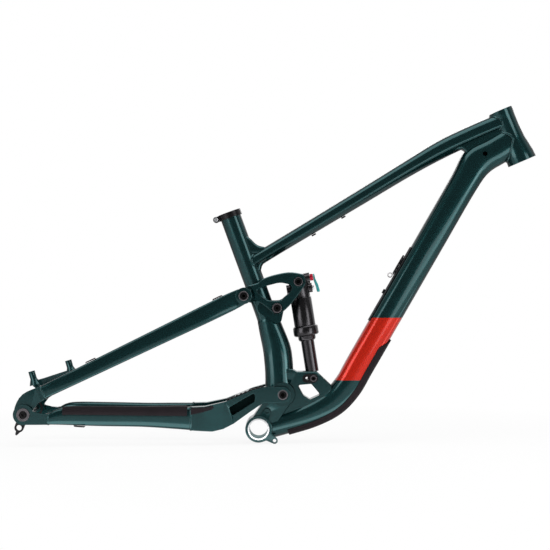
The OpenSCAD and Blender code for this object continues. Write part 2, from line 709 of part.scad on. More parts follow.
axle_head_y = left_plate_y + plate_t;
module thru_axle() color(dark) difference() {
    union() {
        bar(axle, axle_d, -right_plate_y - plate_t, axle_head_y + 1);
        bar(axle, 19, axle_head_y + side_gap, axle_head_y + 6);
    }
    hex_socket(axle, 6, axle_head_y + 1, axle_head_y + 7);
    hex_socket(axle, 6, -hub_width, -right_plate_y - plate_t + 5);
}

// Seatstays
stay_rear = axle + [36, 41];
stay_dir = angle_of(stay_pivot - stay_rear - [0, 3]);
stay_run = stay_pivot - stay_rear - [5, 2];
function stay_row(f, y, hd, hw) = let (p = stay_rear + f * stay_run) [p[0], y, p[1], stay_dir, hd, hw, 3.6];
stay_front_y = (stay_in_y + stay_out_y) / 2;
function seatstay_st(rear_y) = [
    stay_row(0, rear_y, 12.5, 8),
    stay_row(0.1, rear_y - 2, 12.9, 8),
    stay_row(0.32, 71, 14.2, 8),
    stay_row(0.6, 60, 15.6, 8),
    stay_row(0.8, 49, 16.8, 7),
    stay_row(0.93, 40, 16.9, 4.6),
    stay_row(0.97, stay_front_y, 16.4, (stay_out_y - stay_in_y) / 2 - 0.1),
    stay_row(1, stay_front_y, 15.6, (stay_out_y - stay_in_y) / 2 - 0.1)];
right_seatstay = smooth(seatstay_st(stay_rear_right - 2), 2);
left_seatstay = smooth(seatstay_st(stay_rear_left - 2), 2);
eye_r = 15.5;
stay_bolt_d = 9.4;
module seatstay(path) difference() {
    union() {
        tube(path);
        bar(stay_pivot, 2 * eye_r, stay_in_y, stay_out_y);
    }
    bar(stay_pivot, stay_bolt_d, 0, 2 * stay_out_y);
}
module seatstay_right() color(green) mirror([0, 1, 0]) seatstay(right_seatstay);
module seatstay_left() color(green) seatstay(left_seatstay);

bridge_at = 0.84;
module seatstay_bridge() color(green) difference() {
    p = stay_rear + bridge_at * stay_run;
    slab(-46, 46) translate(p) rotate(stay_dir) hull() for (x = [-6, 6]) translate([x, 0]) circle(8);
    mirror([0, 1, 0]) tube(right_seatstay);
    tube(left_seatstay);
}

module stay_plate(plate_y, rear_y) difference() {
    union() {
        slab(plate_y, plate_y + plate_t) {
            spot(axle, drop_r);
            polygon([axle + [-18.5, 4], axle + [-16.5, 14], axle + [-13.2, 22.5], axle + [-8.5, 30.5],
                axle + [-2, 37.5], axle + [6, 42.5], axle + [14, 46], axle + [22, 49],
                stay_end(1), stay_end(-1), axle + [26, 20], axle + [17, 8]]);
        }
        slab(rear_y - 8, rear_y + 8) polygon([stay_end(1), stay_end(-1), stay_end(-1) - 10 * stay_unit,
            stay_end(1) - 10 * stay_unit]);
    }
    bar(axle, bearing_out_d, 0, hub_width);
}
stay_unit = [cos(stay_dir), sin(stay_dir)];
function stay_end(side) = stay_rear - weld_gap * stay_unit + side * 12.4 * left_of(stay_unit);
bearing_out_d = 30;
right_stay_y = right_hub_y + side_gap;
left_stay_y = hub_y + side_gap;
module seatstay_dropout_right() color(green) mirror([0, 1, 0]) stay_plate(right_stay_y, stay_rear_right - 2);

post_y = hub_y - 10;
post_r = 6.4;
post_top = axle + [-6, 72.2];
post_flare = 5;
post_line = [cos(16.6), sin(16.6)];
post_up = left_of(post_line);
post_l = [27, 25];
module brake_posts() {
    for (i = [0, 1]) {
        p = post_top + i * post_spacing * post_line - post_l[i] * post_up;
        translate([p[0], post_y, p[1]]) rotate([0, -16.6, 0]) {
            cylinder(r = post_r, h = post_l[i]);
            cylinder(r1 = post_r + post_flare, r2 = post_r - 0.5, h = post_l[i] / 2);
        }
    }
    base = post_top - 28 * post_up;
    slab(post_y - post_r, stay_rear_left - 4) polygon([base + [-4, -2], base + 8 * post_up + [-3, 0],
        base + 8 * post_up + 28 * post_line, base + 46 * post_line + [0, -12], base + [22, -20]]);
    slab(post_y - post_r, post_y + post_r) polygon([base + [4, 0], base + 8 * post_up,
        base + 10 * post_up + (post_spacing + 6) * post_line,
        base - 4 * post_up + (post_spacing + 8) * post_line, base - 6 * post_up + 20 * post_line]);
}
module seatstay_dropout_left() color(green) difference() {
    union() {
        stay_plate(left_stay_y, stay_rear_left - 2);
        brake_posts();
    }
    tube(left_seatstay);
    for (i = [0, 1]) {
        p = post_top + i * post_spacing * post_line;
        translate([p[0], post_y, p[1]]) rotate([0, -16.6, 0]) translate([0, 0, -16])
            cylinder(d = post_thread_d, h = 17);
    }
    bar(axle, bearing_out_d, 0, hub_width);
}

// Cable guides on the stays
guide_w = 10;
guide_l = 22;
guide_t = 2.2;
guide_at = [0.255, 0.9];
guide_lift = [14.2, 17.1];
module stay_cable_guides() color(dark) for (i = [0, 1]) {
    p = stay_rear + guide_at[i] * stay_run;
    y = i == 0 ? stay_rear_right - 11 : stay_front_y + 4.7;
    translate([p[0], -y, p[1]]) rotate([0, -stay_dir, 0]) translate([0, 0, guide_lift[i] + 0.2])
        linear_extrude(guide_t, scale = 0.8) square([guide_l, i == 0 ? guide_w : guide_w / 2], center = true);
}

module axle_pivot_bearings() color(dark) for (s = [-1, 1]) {
    y = s < 0 ? right_stay_y : left_stay_y;
    mirror([0, s < 0 ? 1 : 0, 0]) difference() {
        bar(axle, bearing_out_d, y + 0.3, y + plate_t - 0.3);
        bar(axle, sleeve_d + 2 * run_gap, 0, hub_width);
    }
}

module seatstay_pivot_bolts() color(black) both() difference() {
    union() {
        bar(stay_pivot, stay_bolt_d, rocker_in_y, stay_out_y);
        bar(stay_pivot, 18.6, stay_out_y, stay_out_y + 2.4);
    }
    hex_socket(stay_pivot, 6, stay_out_y, stay_out_y + 4);
}

// Rocker: two plates with a thin rear ear, joined by a bar over the window
rocker_f_r = 11.4;
rocker_s_r = 13.6;
rocker_window = [[-2.6, 259.5], [4, 266.4], [22, 271.6], [40, 275.6], [54, 273.4], [62.4, 269], [59.6, 258.6],
    [50, 249.6], [40, 242.6], [20.5, 242.6], [9, 249]];
rocker_edge = [stay_pivot + [6, 16], stay_pivot + [26, 24], [9, 283.5], [30, 290.7], [56, 295.4],
    shock_top + [1, 15.5], shock_top + [10, 12], shock_top + [rocker_s_r, 0], shock_top + [10.4, -9.4],
    [63, 238], rocker_pivot + [9.5, -8], rocker_pivot + [0, -rocker_f_r], rocker_pivot + [-9, -7.5], [7, 236],
    [-8, 241.5], stay_pivot + [10, -12]];
module rocker_outline() difference() {
    polygon(closed(rocker_edge, 3));
    polygon(closed(rocker_window, 3));
}
gap_r = eye_r + open_gap;
rocker_bush_d = 22;
bridge_p = [43, 285.5];
ear_bush_d = stay_bolt_d + 2 * open_gap + 5;
module rocker_link() color(green) difference() {
    union() {
        both() slab(rocker_in_y, rocker_out_y) difference() {
            rocker_outline();
            spot(stay_pivot, gap_r + 1);
        }
        both() slab(rocker_in_y, ear_out_y) {
            difference() {
                rocker_outline();
                polygon([stay_pivot, stay_pivot + [60, 0], stay_pivot + [60, 60]]);
            }
            spot(stay_pivot, eye_r - 1);
        }
        bar(bridge_p, 11, -rocker_in_y - 1, rocker_in_y + 1);
    }
    bar(rocker_pivot, rocker_bush_d - 4, -80, 80);
    bar(shock_top, trunnion_bush_d, -80, 80);
    bar(stay_pivot, ear_bush_d, -80, 80);
}

module rocker_bearings() color(silver) {
    ring_pair(rocker_pivot, rocker_axle_d + 2 * run_gap, rocker_bush_d - 4,
        rocker_in_y + 0.4, rocker_out_y - 0.6);
    ring_pair(stay_pivot, stay_bolt_d + 2 * open_gap, ear_bush_d, rocker_in_y + 0.4, ear_out_y - 0.4);
    ring_pair(shock_top, trunnion_bolt_d + 2 * run_gap, trunnion_bush_d, rocker_in_y + 0.4, rocker_out_y - 3);
}

// Shock, built along its own axis: up is the upper pivot
module on_shock() translate([shock_top[0], 0, shock_top[1]]) rotate([0, -shock_tilt, 0]) children();
module along_x(x, z, d, l) translate([x, 0, z]) rotate([0, 90, 0]) cylinder(d = d, h = l);
trunnion_d = 24;
trunnion_bolt_d = 10;
trunnion_bush_d = 17;
can_top = -30;
collar_top = -84.7;
collar_low = -103.9;
seal_low = -113.3;
seal_d = 33;
knob_z = 4.2;
head_nose = 22.5;
head_back = 24;
back_z = -14;
valve_z = -15;
valve_nose = 24.5;
cap_l = 3.5;
trunnion_hole_d = trunnion_bolt_d + 0.1;
module shock_head() color(black) on_shock() difference() {
    union() {
        rotate_extrude() polygon([[0, 15], [8, 15], [14, 12], [17.5, 6], [18.6, -4], [18.6, can_top],
            [0, can_top]]);
        translate([0, trunnion_w / 2, 0]) rotate([90, 0, 0]) cylinder(d = trunnion_d, h = trunnion_w);
        along_x(0, knob_z, 20, head_nose);
        along_x(0, valve_z, 18, valve_nose);
        along_x(-head_back, back_z, 20, head_back);
    }
    translate([0, trunnion_w, 0]) rotate([90, 0, 0]) cylinder(d = trunnion_hole_d, h = trunnion_w / 2 + 12);
    translate([0, 12 - trunnion_w / 2, 0]) rotate([90, 0, 0]) cylinder(d = trunnion_hole_d, h = trunnion_w);
    along_x(head_nose - 8, knob_z, 6 + 2 * run_gap, 9);
    along_x(valve_nose - cap_l, valve_z, 6, 9);
}

module trunnion_bolts() color(black) on_shock() both() difference() {
    union() {
        translate([0, rocker_out_y - 2, 0]) rotate([90, 0, 0])
            cylinder(d = trunnion_bolt_d, h = rocker_out_y - 18);
        translate([0, rocker_out_y - 0.2, 0]) rotate([90, 0, 0]) cylinder(d = trunnion_bush_d - 0.6, h = 2.4);
    }
    translate([0, rocker_out_y + 1, 0]) rotate([90, 0, 0]) cylinder(d = 8 / cos(30), h = 3, $fn = 6);
}

wall = 2.2;
module shock_air_can() color(black) on_shock() difference() {
    rotate_extrude() polygon([[0, can_top - weld_gap], [can_d / 2 - 1.5, can_top - weld_gap],
        [can_d / 2, can_top - 2], [can_d / 2, collar_top], [0, collar_top]]);
    translate([0, 0, collar_top - 1]) cylinder(r = can_d / 2 - wall, h = can_top - collar_top - 6);
}

module shock_collar() color(black) on_shock() difference() {
    rotate_extrude() polygon([[0, collar_top - weld_gap], [can_d / 2 + 1.5, collar_top - weld_gap],
        [collar_d / 2, collar_top - 3], [collar_d / 2, collar_low + 2.5], [collar_d / 2 - 2.5, collar_low],
        [seal_d / 2, collar_low - 0.5], [seal_d / 2, seal_low + 3], [seal_d / 2 - 2, seal_low],
        [0, seal_low]]);
    translate([0, 0, collar_low + 3]) cylinder(r = can_d / 2 - wall, h = 30);
    translate([0, 0, seal_low - 1]) cylinder(d = shaft_d + 2 * run_gap, h = 40);
}

module air_valve_cap() color(silver) on_shock() {
    along_x(valve_nose - cap_l, valve_z, 6, cap_l);
    along_x(valve_nose, valve_z, 9, cap_l);
}

piston_top = -92;
module shock_shaft() color(black) on_shock() {
    translate([0, 0, -shock_length + eyelet_r + 1.5])
        cylinder(d = shaft_d, h = shock_length - eyelet_r - 1.5 + piston_top - 4);
    translate([0, 0, piston_top - 4]) cylinder(r = can_d / 2 - wall - 0.4, h = 6);
}

module shock_eyelet() color(black) on_shock() translate([0, 0, -shock_length]) difference() {
    union() {
        translate([0, eyelet_w / 2, 0]) rotate([90, 0, 0]) cylinder(r = eyelet_r, h = eyelet_w);
        cylinder(d = 18, h = eyelet_r + 1.5 - weld_gap);
    }
    translate([0, eyelet_w, 0]) rotate([90, 0, 0]) cylinder(d = low_bolt_d + 2 * open_gap, h = 2 * eyelet_w);
}

dial_d = 13;
dial_t = 6;
module rebound_knob() color(red) on_shock() {
    difference() {
        along_x(head_nose + side_gap, knob_z, dial_d, dial_t);
        for (a = [0 : 30 : 330]) translate([0, 0, knob_z]) rotate([a, 0, 0])
            along_x(head_nose, dial_d / 2, 1.6, dial_t + 2);
    }
    along_x(head_nose - 7, knob_z, 6, 8);
}

lever_x = head_nose + side_gap + dial_t + side_gap;
lever_w = 9;
module compression_lever() color(teal) on_shock() intersection() {
    translate([lever_x, lever_w / 2 + 1, knob_z]) rotate([90, 0, 0]) linear_extrude(lever_w + 2)
        polygon([[0, 6], [2.6, 6], [3.4, -4], [7, -15], [8.6, -27], [7.6, -30], [3, -29], [2, -18], [0, -7]]);
    translate([lever_x - 1, 0, knob_z]) rotate([0, 90, 0]) linear_extrude(12) hull() {
        circle(6);
        translate([30, 0]) circle(lever_w / 2 - 1);
    }
}

head_tube();
top_tube();
down_tube();
seat_tube();
bb_shell();
pivot_housing();
rocker_boss();
shock_mount();
flip_chips();
shock_lower_bolt();
seat_clamp();
seat_clamp_bolt();
down_tube_guard();
accessory_bolts();
storage_door();
bottle_bolts();
storage_latch();
main_pivot_bearings();
main_pivot_axle();
main_pivot_bolts();
rocker_pivot_axle();
rocker_pivot_bolts();
chainstay_yoke();
chainstay_right();
chainstay_left();
chainstay_guard();
yoke_guard();
chainstay_dropout_right();
chainstay_dropout_left();
chain_cable_guide();
derailleur_hanger();
hanger_bolt();
thru_axle();
seatstay_right();
seatstay_left();
seatstay_bridge();
seatstay_dropout_right();
seatstay_dropout_left();
stay_cable_guides();
axle_pivot_bearings();
seatstay_pivot_bolts();
rocker_link();
rocker_bearings();
shock_head();
trunnion_bolts();
shock_air_can();
shock_collar();
air_valve_cap();
shock_shaft();
shock_eyelet();
rebound_knob();
compression_lever();
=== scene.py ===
"""Looks for the full-suspension bicycle frame: smooth tubes, softened forgings, weld beads and finishes."""

import json
import math

import bmesh
import bpy
from mathutils import Matrix, Vector

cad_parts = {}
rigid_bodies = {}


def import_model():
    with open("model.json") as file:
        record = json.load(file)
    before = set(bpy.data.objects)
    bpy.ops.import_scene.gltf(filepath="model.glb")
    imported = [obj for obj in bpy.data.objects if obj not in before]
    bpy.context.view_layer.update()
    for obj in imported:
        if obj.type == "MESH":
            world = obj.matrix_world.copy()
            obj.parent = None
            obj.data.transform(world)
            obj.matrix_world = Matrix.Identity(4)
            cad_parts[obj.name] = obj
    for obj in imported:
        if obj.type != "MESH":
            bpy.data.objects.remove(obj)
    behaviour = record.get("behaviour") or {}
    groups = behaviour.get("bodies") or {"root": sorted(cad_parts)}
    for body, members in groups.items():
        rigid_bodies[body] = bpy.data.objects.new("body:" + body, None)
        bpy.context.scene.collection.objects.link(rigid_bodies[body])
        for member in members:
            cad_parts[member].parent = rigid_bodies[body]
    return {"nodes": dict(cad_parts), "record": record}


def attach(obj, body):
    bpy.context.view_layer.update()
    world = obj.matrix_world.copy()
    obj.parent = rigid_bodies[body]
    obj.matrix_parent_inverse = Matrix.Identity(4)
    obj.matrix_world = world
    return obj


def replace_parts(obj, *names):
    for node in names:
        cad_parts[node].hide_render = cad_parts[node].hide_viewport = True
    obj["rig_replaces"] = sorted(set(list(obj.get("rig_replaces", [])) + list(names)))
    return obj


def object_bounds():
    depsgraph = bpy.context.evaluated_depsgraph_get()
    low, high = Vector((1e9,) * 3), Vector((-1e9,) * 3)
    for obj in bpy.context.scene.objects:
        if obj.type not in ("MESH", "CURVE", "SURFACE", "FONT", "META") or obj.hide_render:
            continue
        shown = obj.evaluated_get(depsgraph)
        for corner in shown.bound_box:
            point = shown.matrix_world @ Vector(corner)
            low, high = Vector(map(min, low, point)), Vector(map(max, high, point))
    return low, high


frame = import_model()
cad_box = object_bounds()
nodes = frame["nodes"]
record = frame["record"]
behaviour = record["behaviour"]
body_of = {n: b for b, names in behaviour["bodies"].items() for n in names}
slot_of = {s["node"]: s["material_slot"] for s in record["subparts"]}
MM = 0.001

# Places on the frame, in millimetres from the bottom bracket

pivots = {j["name"]: Vector(j["pos_m"]) / MM for j in behaviour["joints"] if "pos_m" in j}
mounts = {m["name"]: m for m in record["mounts"]}


def mouth(name):
    """The open end of a mount's bore, and the direction in which it opens."""
    mount = mounts[name]
    way = Vector(mount["axis"])
    return Vector(mount["pos_m"]) / MM + way * mount["dims"]["length_mm"] / 2, way


HEAD_LOW, head_down = mouth("headset_lower")
HEAD_UP = -head_down
# Distance up from the head tube's lower end, and the radius there
HEAD_RADII = [(0, 28.15), (14, 27.55), (44, 23), (66, 22), (89.4, 22.4), (97.4, 23.2), (105.4, 23.2)]
SEAT_TOP, SEAT_UP = mouth("seat_post")
SEAT_ANGLE = math.degrees(math.atan2(SEAT_UP.z, -SEAT_UP.x))
SEAT_RADIUS = 19.65
# The bottom bracket shell's radius, a hair over the solid's own
SHELL_RADIUS = 25.1
AXLE = pivots["axle_pivot"]
MAIN_PIVOT = pivots["main_pivot"]
ROCKER_PIVOT = pivots["rocker_pivot"]
SHOCK_PIVOT = pivots["shock_upper_pivot"]
STAY_PIVOT = Vector((-28, 0, 251))
SHOCK_FOOT = Vector((103.6, 0, 95))
# The cable port in the down tube's right side
PORT = HEAD_LOW + Vector((-73, 0, 13))
PORT_RADIUS = 4.5
PORT_INNER, PORT_DEPTH = -19, 12


def seat_at(z):
    """The point of the seat tube's axis at a height."""
    return SEAT_TOP + (z - SEAT_TOP.z) / SEAT_UP.z * SEAT_UP


# Finishes


class Value:
    """A number in a node tree, with ordinary arithmetic."""

    def __init__(self, graph, socket):
        self.graph = graph
        self.socket = socket

    def math(self, operation, *terms):
        return self.graph.node("ShaderNodeMath", {"operation": operation}, dict(enumerate(terms)))

    def __add__(self, other):
        return self.math("ADD", self, other)

    def __radd__(self, other):
        return self.math("ADD", other, self)

    def __sub__(self, other):
        return self.math("SUBTRACT", self, other)

    def __rsub__(self, other):
        return self.math("SUBTRACT", other, self)

    def __mul__(self, other):
        return self.math("MULTIPLY", self, other)

    def __rmul__(self, other):
        return self.math("MULTIPLY", other, self)

    def __gt__(self, other):
        return self.math("GREATER_THAN", self, other)

    def __lt__(self, other):
        return self.math("LESS_THAN", self, other)

    def largest(self, other):
        return self.math("MAXIMUM", self, other)

    def ramp(self, low, high, kind="SMOOTHSTEP"):
        """0 up to the low end, rising to 1 at the high end."""
        return self.graph.node("ShaderNodeMapRange", {"interpolation_type": kind},
                               {"Value": self, "From Min": low, "From Max": high})


class Graph:
    """A node tree that is built by short calls, on one kind of texture coordinate."""

    def __init__(self, tree, coordinate):
        self.tree = tree
        self.place = self.node("ShaderNodeTexCoord", {}, {}, coordinate)

    def node(self, kind, settings, sockets, output=0):
        made = self.tree.nodes.new(kind)
        for name, value in settings.items():
            setattr(made, name, value)
        for name, value in sockets.items():
            self.put(made.inputs[name], value)
        return Value(self, made.outputs[output])

    def put(self, socket, value):
        """Links a value to a socket, or sets the socket to a constant."""
        if isinstance(value, Value):
            self.tree.links.new(value.socket, socket)
        else:
            socket.default_value = value

    def axes(self):
        split = self.node("ShaderNodeSeparateXYZ", {}, {0: self.place}).socket.node
        return [Value(self, output) for output in split.outputs]

    def rays(self, kind):
        """1 for rays of one kind, such as those from the camera."""
        return self.node("ShaderNodeLightPath", {}, {}, f"Is {kind} Ray")

    def direct(self):
        """1 for rays that reach the background from the camera, straight or through glass."""
        return self.rays("Camera").largest(self.rays("Transmission"))


class Finish(Graph):
    """One material, with its constants set on the shader's own sockets."""

    def __init__(self, name, **constants):
        self.material = bpy.data.materials.new(name)
        self.material.use_nodes = True
        super().__init__(self.material.node_tree, "Object")
        self.shader = self.tree.nodes["Principled BSDF"]
        for socket, value in constants.items():
            self.shader.inputs[socket.replace("_", " ")].default_value = value

    def feed(self, socket, value):
        self.put(self.shader.inputs[socket], value)
        return self

    def noise(self, scale, detail=2.0):
        return self.node("ShaderNodeTexNoise", {}, {"Vector": self.place, "Scale": scale, "Detail": detail})

    def flakes(self, scale):
        colour = self.node("ShaderNodeTexVoronoi", {}, {"Vector": self.place, "Scale": scale}, "Color")
        return self.node("ShaderNodeRGBToBW", {}, {"Color": colour})

    def mix(self, factor, first, second):
        return self.node("ShaderNodeMix", {"data_type": "RGBA"}, {0: factor, 6: first, 7: second}, 2)

    def bump(self, height, distance):
        return self.feed("Normal", self.node("ShaderNodeBump", {}, {"Height": height, "Distance": distance}))

    def within(self, centre, radius):
        """1 near a line that runs along Y through a point, both given in millimetres."""
        return self.spread(centre) < (radius * MM) ** 2

    def spread(self, centre):
        """The squared distance in metres from a line that runs along Y through a point in millimetres."""
        x, y, z = self.axes()
        across = x - centre.x * MM
        up = z - centre.z * MM
        return across * across + up * up

    def patch(self, mask, colour, metallic, coat):
        """Gives painted metal another colour and shine where the mask is 1."""
        self.colour = self.mix(mask, self.colour, colour)
        self.metallic = self.metallic + mask * (metallic - self.metallic)
        self.coat = self.coat + mask * (coat - self.coat)
        self.feed("Base Color", self.colour)
        self.feed("Metallic", self.metallic)
        return self.feed("Coat Weight", self.coat)


GREEN = (0.0048, 0.03, 0.032, 1)
GREEN_FLAKE = (0.0115, 0.053, 0.055, 1)
RED = (0.38, 0.005, 0.003, 1)
RED_FLAKE = (0.55, 0.038, 0.012, 1)
BARE = (0.66, 0.67, 0.68, 1)
# Near black, painted into holes and sockets as painted shade
HOLE_SHADE = (0.002, 0.002, 0.002, 1)
# Near-black green, painted into the yoke's arm pockets as painted shade
SHADE = (0.002, 0.005, 0.005, 1)
PALE = (0.5, 0.48, 0.49, 1)
PAINT_METAL, PAINT_COAT = 0.8, 0.45
BAND_METAL = 0.4
# Heights of the red band's level ends
BAND_LOW, BAND_HIGH = 91.5, 209.5
# Radius of the bottom bracket shell's bare face
FACE_RADIUS = 20.3
# The pocket in each of the yoke's arms, which gets painted shade: its middle, direction, half length, half
# height and two depths
ARM_POCKET = Vector((-29.75, 0, 48))
ARM_WAY = Vector((0.855, 0, 0.519))
ARM_REACH, ARM_HALF = 30, 9.4
ARM_INNER, ARM_OUTER = 38, 47.4
# The latch's pull loop
LOOP = Vector((249.6, 0, 292.2))
LOOP_REACH = 5.6
# Where a bolt head's painted highlight near the rim begins and is full, as shares of the radius
HIGHLIGHT_RIM_FROM, HIGHLIGHT_RIM_FULL = 0.66, 0.84


def paint_finish(name):
    """Deep green metallic paint under a clear coat, with fine flakes."""
    paint = Finish(name, Metallic=PAINT_METAL, Roughness=0.3, Coat_Weight=PAINT_COAT, Coat_Roughness=0.08,
                   Specular_IOR_Level=0.1, Specular_Tint=(0.06, 0.14, 0.14, 1))
    paint.sparkle = paint.flakes(2600.0)
    cloud = paint.noise(60.0)
    paint.colour = paint.mix(paint.sparkle * 0.5 + cloud * 0.3, GREEN, GREEN_FLAKE)
    paint.metallic = PAINT_METAL
    paint.coat = PAINT_COAT
    paint.feed("Roughness", 0.19 + cloud * 0.06)
    paint.bump(paint.noise(900.0), 0.02 * MM)
    return paint.feed("Base Color", paint.colour)


def band_finish():
    """The same paint, with the red band between two level cuts and painted shade, near black, in the cable
    port.
    """
    paint = paint_finish("green paint with red band")
    x, y, z = paint.axes()
    red = paint.mix(paint.sparkle * 0.6, RED, RED_FLAKE)
    paint.patch((z > BAND_LOW * MM) * (z < BAND_HIGH * MM), red, BAND_METAL, PAINT_COAT)
    # Painted shade: the cable port's bore is painted near black
    return paint.patch(paint.within(PORT, PORT_RADIUS + 0.1) * (y < 0), HOLE_SHADE, PAINT_METAL, 0)


def shell_finish():
    """Green paint, with the bottom bracket's faced rim and bore left bare."""
    paint = paint_finish("green paint with bare bore")
    return paint.patch(paint.within(Vector(), FACE_RADIUS), BARE, 1, 0)


def pocket_finish():
    """Green paint, with painted shade: the lightening pockets in the yoke's arms are painted near black."""
    paint = paint_finish("green paint with painted shade in pockets")
    x, y, z = paint.axes()
    over = x - ARM_POCKET.x * MM
    up = z - ARM_POCKET.z * MM
    along = over * ARM_WAY.x + up * ARM_WAY.z
    across = up * ARM_WAY.x - over * ARM_WAY.z
    outline = (along * along < (ARM_REACH * MM) ** 2) * (across * across < (ARM_HALF * MM) ** 2)
    deep = (y * y < (ARM_OUTER * MM) ** 2) * (y * y > (ARM_INNER * MM) ** 2)
    # Painted shade: the pockets' outline is painted near black inside the arms
    return paint.patch(outline * deep, SHADE, 0, 0)


def metal_finish(name, colour, worn, roughness, metallic=0.85):
    """Anodised or bare metal with a faint turned grain."""
    metal = Finish(name, Metallic=metallic, Roughness=roughness)
    grain = metal.noise(420.0, 4.0)
    metal.feed("Base Color", metal.mix(grain, colour, worn))
    return metal.feed("Roughness", roughness - 0.06 + grain * 0.12)


def rubber_finish():
    """Moulded rubber with a fine matt texture."""
    rubber = Finish("moulded rubber", Roughness=0.62, Specular_IOR_Level=0.08)
    patch = rubber.noise(35.0)
    rubber.feed("Base Color", rubber.mix(patch, (0.006, 0.0045, 0.0055, 1), (0.013, 0.0095, 0.0115, 1)))
    rubber.feed("Roughness", 0.52 + patch * 0.2)
    return rubber.bump(rubber.noise(1400.0, 3.0), 0.08 * MM)


def plastic_finish(name):
    """Satin black plastic of the hatch and its latch."""
    plastic = Finish(name, Roughness=0.45, Specular_IOR_Level=0.05)
    grain = plastic.noise(1100.0)
    plastic.colour = plastic.mix(grain, (0.008, 0.008, 0.009, 1), (0.016, 0.016, 0.018, 1))
    plastic.feed("Base Color", plastic.colour)
    plastic.feed("Roughness", 0.4 + grain * 0.12)
    return plastic.bump(grain, 0.04 * MM)


def latch_finish():
    """The latch's plastic, with a pale pull loop."""
    plastic = plastic_finish("satin black plastic with pale loop")
    return plastic.feed("Base Color", plastic.mix(plastic.within(LOOP, LOOP_REACH), plastic.colour, PALE))


def bolt_finish(name, centre, radius, socket):
    """Black bolt head with a painted highlight near its rim and painted shade in its socket."""
    bolt = Finish(name, Metallic=0.95, Roughness=0.3)
    # Painted highlight: a brighter ring near the head's rim, varied by grain
    rim = bolt.spread(centre).ramp((HIGHLIGHT_RIM_FROM * radius * MM) ** 2, (HIGHLIGHT_RIM_FULL * radius * MM) ** 2)
    grain = bolt.noise(700.0, 3.0)
    face = bolt.mix(rim * (0.45 + grain), (0.012, 0.012, 0.013, 1), (0.14, 0.13, 0.14, 1))
    # Painted shade: the socket is painted near black
    return bolt.feed("Base Color", bolt.mix(bolt.within(centre, socket), face, HOLE_SHADE))


finishes = {
    "frame_paint": paint_finish("green metallic paint"),
    "black_metal": metal_finish("black anodised metal", (0.011, 0.011, 0.012, 1), (0.026, 0.025, 0.026, 1),
                                0.32, 0.95),
    "guard_rubber": rubber_finish(),
    "hatch_plastic": plastic_finish("satin black plastic"),
    "bare_steel": metal_finish("bare machined metal", (0.5, 0.51, 0.53, 1), (0.72, 0.73, 0.75, 1), 0.28, 1.0),
    "red_anodised": metal_finish("red anodised metal", (0.42, 0.012, 0.04, 1), (0.55, 0.03, 0.06, 1), 0.3),
    "teal_anodised": metal_finish("teal anodised metal", (0.03, 0.26, 0.26, 1), (0.06, 0.34, 0.34, 1),
                                  0.3, 0.6),
}
# Finishes of single nodes
own_finish = {
    "down_tube": band_finish(),
    "bb_shell": shell_finish(),
    "chainstay_yoke": pocket_finish(),
    "storage_latch": latch_finish(),
}
shock_black = metal_finish("glossy black of the shock", (0.03, 0.029, 0.031, 1), (0.052, 0.05, 0.054, 1),
                           0.22, 0.95)
for name in ("shock_head", "shock_air_can", "shock_collar", "shock_shaft", "shock_eyelet"):
    own_finish[name] = shock_black
# Each bolt's axis, and the radii of its head and of its socket, which is painted dark as shade
BOLTS = {
    "main_pivot_bolts": (MAIN_PIVOT, 9.5, 4.4),
    "rocker_pivot_bolts": (ROCKER_PIVOT, 9, 3.4),
    "seatstay_pivot_bolts": (STAY_PIVOT, 9.3, 3.4),
    "trunnion_bolts": (SHOCK_PIVOT, 9, 3.4),
    "shock_lower_bolt": (SHOCK_FOOT, 5.9, 2.8),
    "hanger_bolt": (AXLE, 9.6, 6),
}
for name, (centre, radius, socket) in BOLTS.items():
    own_finish[name] = bolt_finish("black metal of " + name, centre, radius, socket)

# Making pieces

# Edges sharper than this many degrees are rounded off
SHARP = 38
# How far a point may lie from a flat face and count as on it, in metres
ON_FACE = 2e-5


def linked(name, data):
    """A new object in the scene."""
    made = bpy.data.objects.new(name, data)
    bpy.context.scene.collection.objects.link(made)
    return made


def as_mesh(name, bm):
    """Turns a bmesh into a mesh and frees it."""
    mesh = bpy.data.meshes.new(name)
    bm.to_mesh(mesh)
    bm.free()
    return mesh


def placed(name, bm, node=None, body=None, smooth=40):
    """Turns a bmesh in metres into a piece that rides with its body and may stand for a CAD node."""
    mesh = as_mesh(name, bm)
    mesh.polygons.foreach_set("use_smooth", [True] * len(mesh.polygons))
    mesh.set_sharp_from_angle(angle=math.radians(smooth))
    piece = linked(name, mesh)
    slot = slot_of[node] if node else "frame_paint"
    mesh.materials.append(own_finish.get(node, finishes[slot]).material)
    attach(piece, body or body_of[node])
    if node:
        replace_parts(piece, node)
    return piece


def finished(name, bm, node=None, body=None, smooth=40):
    """The same for a bmesh in millimetres."""
    bmesh.ops.scale(bm, vec=(MM, MM, MM), verts=bm.verts)
    return placed(name, bm, node, body, smooth)


def merged(node):
    """A CAD node's mesh with its flat triangles joined."""
    bm = bmesh.new()
    bm.from_mesh(nodes[node].data)
    bmesh.ops.remove_doubles(bm, verts=bm.verts, dist=2e-6)
    bmesh.ops.dissolve_limit(bm, angle_limit=math.radians(0.6), verts=bm.verts, edges=bm.edges)
    return bm


def chamfered(node, width):
    """A plate with its rims cut back to a chamfer on its two outer faces."""
    bm = merged(node)
    for level in (min(v.co.y for v in bm.verts), max(v.co.y for v in bm.verts)):
        flat = [f for f in bm.faces if all(abs(v.co.y - level) < ON_FACE for v in f.verts)]
        bmesh.ops.inset_region(bm, faces=flat, thickness=width * MM, use_boundary=True, use_even_offset=True)
        bm.normal_update()
        for vert in [v for v in bm.verts if abs(v.co.y - level) < ON_FACE]:
            if any(abs(f.normal.y) < 0.5 for f in vert.link_faces):
                vert.co.y -= math.copysign(width * MM, level)
    placed("soft_" + node, bm, node, smooth=32)


